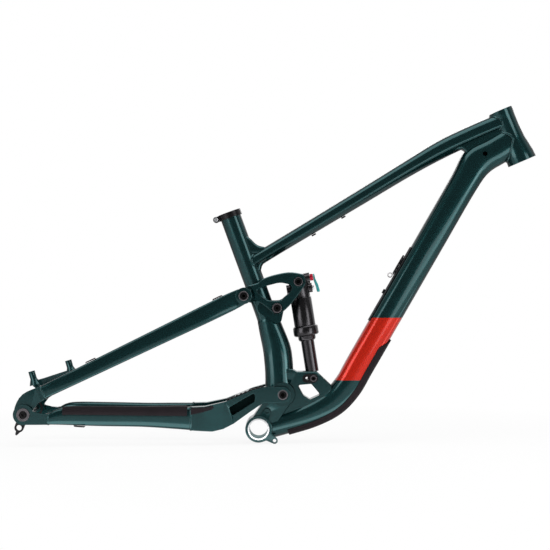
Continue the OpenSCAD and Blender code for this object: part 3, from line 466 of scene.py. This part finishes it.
def softened(node, width):
    """A CAD node with its sharp edges rounded off."""
    piece = placed("soft_" + node, merged(node), node, smooth=SHARP)
    bevel = piece.modifiers.new("softened edges", "BEVEL")
    bevel.width = width * MM
    bevel.segments = 2
    bevel.limit_method = "ANGLE"
    bevel.angle_limit = math.radians(SHARP)
    bevel.harden_normals = True
    bevel.use_clamp_overlap = True
    bevel.miter_outer = "MITER_ARC"


def rounded(bm, edges, radius, segments, clamp=False):
    """Rounds off edges of a bmesh."""
    bmesh.ops.bevel(bm, geom=edges, offset=radius, affect="EDGES", segments=segments, profile=0.5,
                    material=-1, clamp_overlap=clamp)


def side_rims(bm):
    """The edges that lie in a side face."""
    return [e for e in bm.edges if abs(e.verts[0].co.y - e.verts[1].co.y) < 0.01]


def loft(rings, around=False):
    """A skin from ring to ring, closed at both ends or joined to its own start."""
    bm = bmesh.new()
    loops = []
    for ring in rings:
        verts = bmesh.ops.create_circle(bm, segments=len(ring), radius=1)["verts"]
        for vert, point in zip(verts, ring):
            vert.co = point
        loops.append({edge for vert in verts for edge in vert.link_edges})
    pairs = list(zip(loops, loops[1:]))
    if around:
        pairs.append((loops[-1], loops[0]))
    for first, second in pairs:
        bmesh.ops.bridge_loops(bm, edges=list(first | second))
    if not around:
        bmesh.ops.holes_fill(bm, edges=list(loops[0] | loops[-1]), sides=0)
    bmesh.ops.recalc_face_normals(bm, faces=bm.faces)
    return bm


def cylinder(radius, length, place, count=40):
    """A cylinder along the place's own Z axis, from its origin."""
    bm = bmesh.new()
    bmesh.ops.create_cone(bm, cap_ends=True, segments=count, radius1=radius, radius2=radius, depth=length,
                          matrix=place @ Matrix.Translation((0, 0, length / 2)))
    return bm


def block(size, place):
    """A block around the place's origin."""
    bm = bmesh.new()
    bmesh.ops.create_cube(bm, size=1, matrix=place @ Matrix.Diagonal((*size, 1)))
    return bm


def carved(piece, cutter):
    """Cuts one bmesh, given in millimetres, out of a piece."""
    bmesh.ops.scale(cutter, vec=(MM, MM, MM), verts=cutter.verts)
    tool = linked("cutter", as_mesh("cutter", cutter))
    cut = piece.modifiers.new("carved", "BOOLEAN")
    cut.object = tool
    cut.operation = "DIFFERENCE"
    cut.solver = "EXACT"
    bpy.context.view_layer.update()
    result = bpy.data.meshes.new_from_object(piece.evaluated_get(bpy.context.evaluated_depsgraph_get()))
    piece.modifiers.remove(cut)
    piece.data = result
    result.set_sharp_from_angle(angle=math.radians(40))
    bpy.data.objects.remove(tool)


# Tubes through stations. A station is x, y, z, direction in degrees, half depth, half width and squareness.

# How deep a tube's end sinks into the tube that it is welded to
WELD_SINK = 0.5
# Rings in the last stretch of a coped tube
COPE_RINGS = 6
# How far a tube's closed end is set back, and how much narrower it is
PLUG_BACK, PLUG_SHRINK = 5.0, 0.12
# Points around a weld bead
BEAD_POINTS = 8


def power(value, exponent):
    return math.copysign(abs(value) ** exponent, value)


def edge_point(station, turn, lift=0.0):
    """A point of the station's section, lifted off it by a distance."""
    x, y, z, way, depth, width, square = station
    up = (depth + lift) * power(math.sin(turn), 2 / square)
    side = (width + lift) * power(math.cos(turn), 2 / square)
    return Vector((x - up * math.sin(math.radians(way)), y + side, z + up * math.cos(math.radians(way))))


def section(station, count=44):
    return [edge_point(station, 2 * math.pi * i / count) for i in range(count)]


def smoothed(rows, steps=6):
    """A smooth curve through the stations."""
    rows = [Vector(row) for row in rows]
    rows = rows[:1] + rows + rows[-1:]
    path = []
    for before, here, there, after in zip(rows, rows[1:], rows[2:], rows[3:]):
        for j in range(steps):
            t = j / steps
            path.append(0.5 * (2 * here + (there - before) * t
                               + (2 * before - 5 * here + 4 * there - after) * t * t
                               + (3 * here - before - 3 * there + after) * t ** 3))
    return path + [rows[-1]]


def coped(rings, outside):
    """Ends the rings where each line along the tube meets the tube that it is welded to."""
    last = len(rings) - 2
    ends = []
    for i in range(len(rings[0])):
        depth = [outside(ring[i]) for ring in rings]
        k = next((k for k in range(len(rings) // 2, last + 1) if depth[k] > 0 >= depth[k + 1]), last)
        meets = depth[k + 1] < 0 < depth[k]
        ends.append(k + (depth[k] / (depth[k] - depth[k + 1]) if meets else 1))
    keep = max(int(min(ends)) - 2, 1)

    def along(i, s):
        k = min(int(s), last)
        return rings[k][i].lerp(rings[k + 1][i], s - k)

    return rings[:keep + 1] + [[along(i, keep + (end - keep) * j / COPE_RINGS) for i, end in enumerate(ends)]
                               for j in range(1, COPE_RINGS + 1)]


def middle(ring):
    return sum(ring, Vector()) / len(ring)


def plugged(rings):
    """Closes the last ring with a plug set back inside the tube."""
    centre = middle(rings[-1])
    back = (middle(rings[-4]) - centre).normalized() * PLUG_BACK
    return rings + [[point.lerp(centre, PLUG_SHRINK) + back for point in rings[-1]]]


def bead(name, loop, radius, body, outward=0.0):
    """A weld bead along a closed line."""
    centre = middle(loop)
    turns = [2 * math.pi * j / BEAD_POINTS for j in range(BEAD_POINTS)]
    rings = []
    for i, point in enumerate(loop):
        along = (loop[(i + 1) % len(loop)] - loop[i - 1]).normalized()
        out = (point - centre).normalized()
        out = (out - along * out.dot(along)).normalized()
        side = along.cross(out)
        seat = point + out * outward
        rings.append([seat + radius * (math.cos(a) * out + math.sin(a) * side) for a in turns])
    finished(name, loft(rings, around=True), body=body, smooth=60)


def end_bead(name, station, body, radius=2.4):
    """A weld bead around a tube's end."""
    bead(name, section(station), radius, body, outward=-radius * 0.45)


def outside(foot, up, radius_at):
    """A function that says how far a point lies outside a round tube, counted from where a weld sits."""
    def distance(point):
        along = (point - foot).dot(up)
        return (point - foot - along * up).length - radius_at(along) + WELD_SINK
    return distance


def head_radius(along):
    for (a, r), (b, s) in zip(HEAD_RADII, HEAD_RADII[1:]):
        if along <= b:
            return r + (s - r) * max(along - a, 0) / (b - a)
    return HEAD_RADII[-1][1]


outside_head = outside(HEAD_LOW, HEAD_UP, head_radius)
outside_seat = outside(SEAT_TOP, SEAT_UP, lambda along: SEAT_RADIUS)
outside_shell = outside(Vector(), Vector((0, 1, 0)), lambda along: SHELL_RADIUS)

# Top tube, with a crease along its lower side

TOP_FROM, TOP_TO = seat_at(309), HEAD_LOW + 83.4 * HEAD_UP
# Share of the length, rise above the straight line, half depth and half width
TOP_ROWS = [(0, 0, 14.5, 16.8), (0.1, 2, 12.8, 17.6), (0.43, 7.6, 14, 19), (0.63, 11.4, 15, 20),
            (0.77, 12, 17.2, 21), (0.9, 6.5, 17.6, 20.4), (1, 0, 17.6, 19.6)]
TOP_SQUARE = 2.7
# Where the crease lies below the middle, as a share of the half depth, and how far the tube turns in under it
CREASE, TUCK = 0.36, 0.45
top_line = TOP_TO - TOP_FROM
top_up = Vector((-top_line.z, 0, top_line.x)).normalized()
top_angle = math.degrees(math.atan2(top_line.z, top_line.x))


def creased(station):
    """A section whose lower part turns in below a crease along the side."""
    ring = section(station, 72)
    for i, point in enumerate(ring):
        below = -power(math.sin(2 * math.pi * i / len(ring)), 2 / station[6])
        point.y *= 1 - TUCK * max(below - CREASE, 0) / (1 - CREASE)
    return ring


top_stations = []
for i, (share, rise, depth, width) in enumerate(TOP_ROWS):
    near, far = TOP_ROWS[max(i - 1, 0)], TOP_ROWS[min(i + 1, len(TOP_ROWS) - 1)]
    lean = math.degrees(math.atan2(far[1] - near[1], (far[0] - near[0]) * top_line.length))
    at = TOP_FROM + share * top_line + rise * top_up
    top_stations.append((at.x, 0, at.z, top_angle + lean, depth, width, TOP_SQUARE))
top_rings = coped([creased(s) for s in smoothed(top_stations)], outside_head)
top_head_weld = top_rings[-1]
top_rings = coped(plugged(top_rings)[::-1], outside_seat)
top_seat_weld = top_rings[-1]
finished("smooth_top_tube", loft(plugged(top_rings)), "top_tube")
bead("top_tube_head_weld", top_head_weld, 2.6, "front_triangle")
bead("top_tube_seat_weld", top_seat_weld, 2.8, "front_triangle")

# Webs at the top tube's two ends, by their side outlines from the start of the top tube

FILLET_RADIUS = 6


def fillet(name, outline, half):
    """A rounded web between two tubes."""
    bm = bmesh.new()
    verts = bmesh.ops.create_circle(bm, cap_ends=True, segments=len(outline), radius=1)["verts"]
    for vert, (x, z) in zip(verts, outline):
        vert.co = TOP_FROM + Vector((x, -half, z))
    grown = bmesh.ops.extrude_face_region(bm, geom=bm.faces[:])["geom"]
    far_side = [g for g in grown if isinstance(g, bmesh.types.BMVert)]
    bmesh.ops.translate(bm, vec=(0, 2 * half, 0), verts=far_side)
    bmesh.ops.recalc_face_normals(bm, faces=bm.faces)
    rounded(bm, side_rims(bm), FILLET_RADIUS, 5, clamp=True)
    finished(name, bm, body="front_triangle", smooth=50)


fillet("upper_seat_fillet", [(-22, 58), (-2, 56), (1.6, 52.6), (6, 49), (10, 44.8), (14, 41), (18.6, 38),
                             (24, 36), (36, 34), (26, 20), (-10, 20)], 13)
fillet("lower_seat_fillet", [(12, -16), (24, -13), (24.5, -8.5), (26, -2.5), (29, 3), (34, 6.2), (40, 9.6),
                             (50, 18), (30, 22), (6, 10)], 12)
fillet("head_web", [(388, 215), (398, 218.6), (404.4, 219.8), (410, 217.6), (413, 212), (420, 203),
                    (460, 226), (490, 256), (475, 271), (400, 236)], 15)

# Down tube, with its storage pocket and cable port

KNEE, NECK = Vector((168, 0, 80)), HEAD_LOW + Vector((-112, 0, -43))
DOWN_WAY = (NECK - KNEE).normalized()
DOWN_ANGLE = math.degrees(math.atan2(DOWN_WAY.z, DOWN_WAY.x))
GUARD_END = 117
# The storage pocket's middle along the tube, its length, width and height, its floor and its corners' radius
POCKET_MIDDLE = 208
POCKET_SIZE = (142, 26, 53.2)
POCKET_FLOOR = -17
POCKET_CORNER = 6.5


def down_at(along):
    """The point of the tube's straight axis at a distance from the knee."""
    return KNEE + along * DOWN_WAY


def on_down_tube(along, height):
    turn = Matrix.Rotation(-math.radians(DOWN_ANGLE), 4, "Y")
    return Matrix.Translation(down_at(along)) @ turn @ Matrix.Translation((0, 0, height))


def down_row(at, way, depth, width, square=2.8):
    return (at.x, 0, at.z, way, depth, width, square)


down_stations = [
    down_row(Vector((4, 0, -4)), 18, 20, 29),
    down_row(Vector((50, 0, 10)), 20, 21.6, 29),
    down_row(Vector((100, 0, 28)), 23, 24.2, 28),
    down_row(Vector((140, 0, 50)), 36, 25.6, 27),
    down_row(KNEE, 52, 26, 27),
    down_row(down_at(45), DOWN_ANGLE, 26.2, 27),
    down_row(down_at(GUARD_END), DOWN_ANGLE, 26.4, 27),
    down_row(down_at(310), DOWN_ANGLE, 26.6, 27),
    down_row(NECK, DOWN_ANGLE, 27, 26, 2.7),
    down_row(HEAD_LOW + Vector((-85.7, 0, -0.7)), 46, 30.8, 24, 2.6),
    down_row(HEAD_LOW + Vector((-50, 0, 21)), 38, 29, 23, 2.5),
    down_row(HEAD_LOW + Vector((-14, 0, 44)), 32, 27.6, 22, 2.4),
]
down_rings = coped([section(s) for s in smoothed(down_stations)], outside_head)
down_head_weld = down_rings[-1]
down_rings = coped(plugged(down_rings)[::-1], outside_shell)
down_shell_weld = down_rings[-1]
down_tube = finished("smooth_down_tube", loft(plugged(down_rings)), "down_tube")
bead("down_tube_head_weld", down_head_weld, 2.8, "front_triangle")
bead("down_tube_shell_weld", down_shell_weld, 2.6, "front_triangle")

pocket = block(POCKET_SIZE, on_down_tube(POCKET_MIDDLE, POCKET_FLOOR + POCKET_SIZE[2] / 2))
pocket_up = Vector((-DOWN_WAY.z, 0, DOWN_WAY.x))
corners = [e for e in pocket.edges
           if abs((e.verts[0].co - e.verts[1].co).normalized().dot(pocket_up)) > 0.9]
rounded(pocket, corners, POCKET_CORNER, 5)
carved(down_tube, pocket)
port_place = Matrix.Translation(PORT + Vector((0, PORT_INNER, 0))) @ Matrix.Rotation(math.radians(90), 4, "X")
carved(down_tube, cylinder(PORT_RADIUS, PORT_DEPTH, port_place))

# Guards: strips that lie on a tube's section

GUARD_GAP = 0.05
STRIP_STEPS = 18
# Share of the thickness at a strip's edge, and the steps in which it grows to the full thickness
STRIP_EDGE, STRIP_EASE = 0.45, 2
# The down tube guard's start, the length of its slanted end, and its half angle there and beyond
GUARD_START, GUARD_SLANT = 48, 26
SLANT_HALF, GUARD_HALF = 20, 64
GUARD_THICK, STAY_GUARD_THICK = 2.8, 2.4


def strip(station, start, end, thick):
    """A strip's section, between two angles around the station's section."""
    turns = [math.radians(start + (end - start) * i / STRIP_STEPS) for i in range(STRIP_STEPS + 1)]
    outer = []
    for i, turn in enumerate(turns):
        grown = min(i, STRIP_STEPS - i) / STRIP_EASE
        outer.append(edge_point(station, turn, thick * min(1, STRIP_EDGE + (1 - STRIP_EDGE) * grown)))
    return outer + [edge_point(station, turn, GUARD_GAP) for turn in reversed(turns)]


guard_rings = []
for s in smoothed(down_stations, 24):
    if not GUARD_START < s[0] < down_at(GUARD_END + 0.1).x:
        continue
    ease = min((GUARD_END - (Vector((s[0], 0, s[2])) - KNEE).dot(DOWN_WAY)) / GUARD_SLANT, 1)
    half = SLANT_HALF + (GUARD_HALF - SLANT_HALF) * ease * ease * (3 - 2 * ease)
    guard_rings.append(strip(s, 270 - half, 270 + half, GUARD_THICK))
finished("smooth_down_tube_guard", loft(guard_rings), "down_tube_guard", smooth=50)

# Seat tube: swollen foot, round upper part with the post's bore and the clamp's slit

BORE_DEPTH = 180
SLIT_SIZE = (30, 3, 32)
SLIT_AT = (-19, 0, -14)
SEAT_WAY = 180 - SEAT_ANGLE
seat_rows = [
    (MAIN_PIVOT.x - 5, 0, MAIN_PIVOT.z + 4, 90, 28.4, 25, 2.3),
    (MAIN_PIVOT.x - 6.4, 0, MAIN_PIVOT.z + 35, 90, 26.8, 24.5, 2.3),
    (MAIN_PIVOT.x - 8, 0, MAIN_PIVOT.z + 62, 93, 27, 23.5, 2.3),
    (MAIN_PIVOT.x - 11.6, 0, MAIN_PIVOT.z + 87, 100, 26.4, 22.5, 2.2),
    (seat_at(187).x - 1.2, 0, 187, SEAT_WAY - 3, 23, 21, 2.1),
    (seat_at(205).x, 0, 205, SEAT_WAY, 21.05, 20.35, 2),
]
for z in (219, 300, SEAT_TOP.z):
    seat_rows.append((seat_at(z).x, 0, z, SEAT_WAY, SEAT_RADIUS, SEAT_RADIUS, 2))
seat_tube = finished("smooth_seat_tube", loft([section(s, 56) for s in smoothed(seat_rows)]), "seat_tube")
at_seat_top = Matrix.Translation(SEAT_TOP) @ Matrix.Rotation(math.radians(SEAT_ANGLE - 90), 4, "Y")
post_radius = mounts["seat_post"]["dims"]["r_mm"]
bore_place = at_seat_top @ Matrix.Translation((0, 0, -BORE_DEPTH))
carved(seat_tube, cylinder(post_radius, BORE_DEPTH + 2, bore_place, 56))
carved(seat_tube, block(SLIT_SIZE, at_seat_top @ Matrix.Translation(SLIT_AT)))

# Chainstays, with the guard on the right one

YOKE_BACK, DROP_FRONT = -126, AXLE.x + 46
# How far a chainstay's ends stay off the yoke and the dropout
STAY_GAP = 0.04


def chainstay_stations(rear_y, side):
    rows = [(YOKE_BACK - STAY_GAP, 57, 22.2, 180, 21.7, 11, 3.4),
            (YOKE_BACK - 30, 59, 23.4, 180, 20.4, 11, 3.2),
            (YOKE_BACK - 90, 63.5, 25.2, 180, 18, 10.6, 3),
            (YOKE_BACK - 170, 70.5, 26.7, 180, 17.5, 10, 3),
            (DROP_FRONT + 26, rear_y - 4.5, 28, 180, 15.6, 9, 3),
            (DROP_FRONT + STAY_GAP, rear_y, 23.4, 180, 10.2, 8.4, 3)]
    return smoothed([(x, side * y, *rest) for x, y, *rest in rows])


for side, rear_y, name in ((-1, 86, "right"), (1, 81, "left")):
    stations = chainstay_stations(rear_y, side)
    finished("smooth_chainstay_" + name, loft([section(s, 40) for s in stations]), "chainstay_" + name)
    end_bead("chainstay_front_weld_" + name, stations[0], "swingarm", 2.8)
    end_bead("chainstay_rear_weld_" + name, stations[-1], "swingarm")
    if name == "right":
        guarded = [s for s in stations if DROP_FRONT + 20 < s[0] < YOKE_BACK - 4]
        guard = loft([strip(s, 185, 300, STAY_GUARD_THICK) for s in guarded])
        finished("smooth_chainstay_guard", guard, "chainstay_guard", smooth=50)

# Seatstays, with a round eye at the front

STAY_REAR = AXLE + Vector((36, 0, 41))
STAY_IN, STAY_OUT = 33.5, 41.1
STAY_SQUARE = 3.6
EYE_RADIUS, EYE_EDGE = 15.5, 0.9
stay_aim = STAY_PIVOT - STAY_REAR - Vector((0, 0, 3))
stay_angle = math.degrees(math.atan2(stay_aim.z, stay_aim.x))
stay_run = STAY_PIVOT - STAY_REAR - Vector((5, 0, 2))


def seatstay_stations(rear_y, side):
    """Stations from rows of share of the length, distance from the middle, half depth and half width."""
    eye_y = (STAY_IN + STAY_OUT) / 2
    rows = [(0, rear_y, 12.5, 8), (0.1, rear_y - 2, 12.9, 8), (0.32, 71, 14.2, 8), (0.6, 60, 15.6, 8),
            (0.8, 49, 16.8, 7), (0.93, 40, 16.9, 4.6), (0.97, eye_y, 16.4, 3.7), (1, eye_y, 15.6, 3.7)]
    return smoothed([(*(STAY_REAR + share * stay_run + Vector((0, side * y, 0))), stay_angle, depth, width,
                      STAY_SQUARE) for share, y, depth, width in rows])


for side, rear_y, name in ((-1, 84, "right"), (1, 79, "left")):
    stations = seatstay_stations(rear_y, side)
    stay = loft([section(s) for s in stations])
    eye_turn = Matrix.Rotation(math.radians(-90 * side), 4, "X")
    eye_place = Matrix.Translation(STAY_PIVOT + Vector((0, side * STAY_IN, 0))) @ eye_turn
    eye = cylinder(EYE_RADIUS, STAY_OUT - STAY_IN, eye_place, 56)
    rounded(eye, side_rims(eye), EYE_EDGE, 3)
    eye_mesh = as_mesh("eye", eye)
    stay.from_mesh(eye_mesh)
    bpy.data.meshes.remove(eye_mesh)
    finished("smooth_seatstay_" + name, stay, "seatstay_" + name)
    end_bead("seatstay_rear_weld_" + name, stations[0], "seatstays")

# Forgings, plates, bolts and shock, from their solids

CHAMFERS = {"rocker_link": 1.6, "rocker_boss": 1.4, "shock_mount": 1.2}
# Nodes by the width of their rounded edges
SOFT = {
    0.7: ["head_tube", "pivot_housing", "seatstay_bridge"],
    2.6: ["chainstay_yoke"],
    1.8: ["chainstay_dropout_right", "chainstay_dropout_left", "seatstay_dropout_right",
          "seatstay_dropout_left"],
    0.5: ["stay_cable_guides", "chain_cable_guide"],
    0.6: ["derailleur_hanger", "seat_clamp", "storage_door", "storage_latch", "yoke_guard", "hanger_bolt",
          "thru_axle", "flip_chips", "shock_head", "shock_air_can", "shock_collar", "shock_eyelet",
          "compression_lever"],
    0.4: ["seat_clamp_bolt", "accessory_bolts", "bottle_bolts", "air_valve_cap", "rebound_knob"],
    0.9: ["shock_lower_bolt", "main_pivot_bolts", "rocker_pivot_bolts", "seatstay_pivot_bolts",
          "trunnion_bolts"],
    0.8: ["bb_shell"],
}
for name, width in CHAMFERS.items():
    chamfered(name, width)
for width, names in SOFT.items():
    for name in names:
        softened(name, width)

# Nodes that are shown as they are
replaced = [names for names in (piece.get("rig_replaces") for piece in bpy.data.objects) if names]
for name, node in nodes.items():
    if not any(name in names for names in replaced):
        node.data.materials.clear()
        node.data.materials.append(own_finish.get(name, finishes[slot_of[name]]).material)

# Floor and room. Both are white to the camera. In reflections the far floor and the room's front are dim.

FLOOR_SIZE = 30
FLOOR_GAP = 0.0005
DIM_ROOM = 0.15
floor_place = Matrix.Translation((0, 0, cad_box[0][2] - FLOOR_GAP))
bm = bmesh.new()
bmesh.ops.create_grid(bm, x_segments=1, y_segments=1, size=FLOOR_SIZE, matrix=floor_place)
floor = linked("floor", as_mesh("floor", bm))

pale = Finish("pale floor", Base_Color=(0.9, 0.9, 0.9, 1), Roughness=0.8, Specular_IOR_Level=0.1)
x, y, z = pale.axes()
away = x * x + y * y
mirrored = pale.rays("Glossy") * (1 - away.ramp(0.4, 2.2))
# A little of the shadow stays in the picture around the part
share = (pale.direct() + mirrored) * (0.9 + 0.1 * away.ramp(0.2, 1.2))
glow = pale.node("ShaderNodeEmission", {}, {})
surface = Value(pale, pale.shader.outputs[0])
blend = pale.node("ShaderNodeMixShader", {}, {0: share, 1: surface, 2: glow})
pale.put(pale.tree.nodes["Material Output"].inputs[0], blend)
floor.data.materials.append(pale.material)

world = bpy.data.worlds.new("studio")
bpy.context.scene.world = world
world.use_nodes = True
room = Graph(world.node_tree, "Generated")
x, y, z = room.axes()
shown = room.direct().largest(room.rays("Glossy") * y.ramp(-0.3, 0.1, "LINEAR"))
backdrop = world.node_tree.nodes["Background"]
backdrop.inputs["Color"].default_value = (1, 1, 1, 1)
room.put(backdrop.inputs["Strength"], DIM_ROOM + (1 - DIM_ROOM) * shown)

# Lamps and camera


def lamp(name, place, aim, size, power):
    light = bpy.data.lights.new(name, "AREA")
    light.shape = "RECTANGLE"
    light.size, light.size_y = size
    light.energy = power
    holder = linked(name, light)
    holder.location = place
    holder.rotation_euler = (Vector(aim) - Vector(place)).to_track_quat("-Z", "Y").to_euler()
    holder.visible_camera = False


lamp("overhead softbox", (0.1, -0.5, 1.95), (0.05, -0.1, 0.25), (2.6, 1.5), 32)
lamp("left softbox", (-1.9, -1.75, 0.55), (0.0, 0, 0.25), (1.5, 1.8), 32)
lamp("right softbox", (2.0, -1.75, 0.55), (0.1, 0, 0.25), (1.0, 1.8), 24)
lamp("low strip", (0.03, -0.13, -0.026), (0.03, -0.11, 0.4), (1.6, 0.12), 1.5)
lamp("low right card", (0.85, -1.0, 0.16), (0.55, -0.4, 0.75), (0.9, 0.4), 3)
lamp("rear softbox", (0.6, 2.2, 1.4), (0.05, 0, 0.25), (2.0, 0.9), 18)

camera = bpy.data.cameras.new("camera")
camera.sensor_fit = "HORIZONTAL"
camera.sensor_width = 36
camera.lens = 117.1
viewpoint = linked("camera", camera)
viewpoint.location = (0.031, -3.4, 0.2903)
viewpoint.rotation_euler = (math.radians(90), 0, 0)
bpy.context.scene.camera = viewpoint
bpy.context.scene.view_settings.view_transform = "Standard"
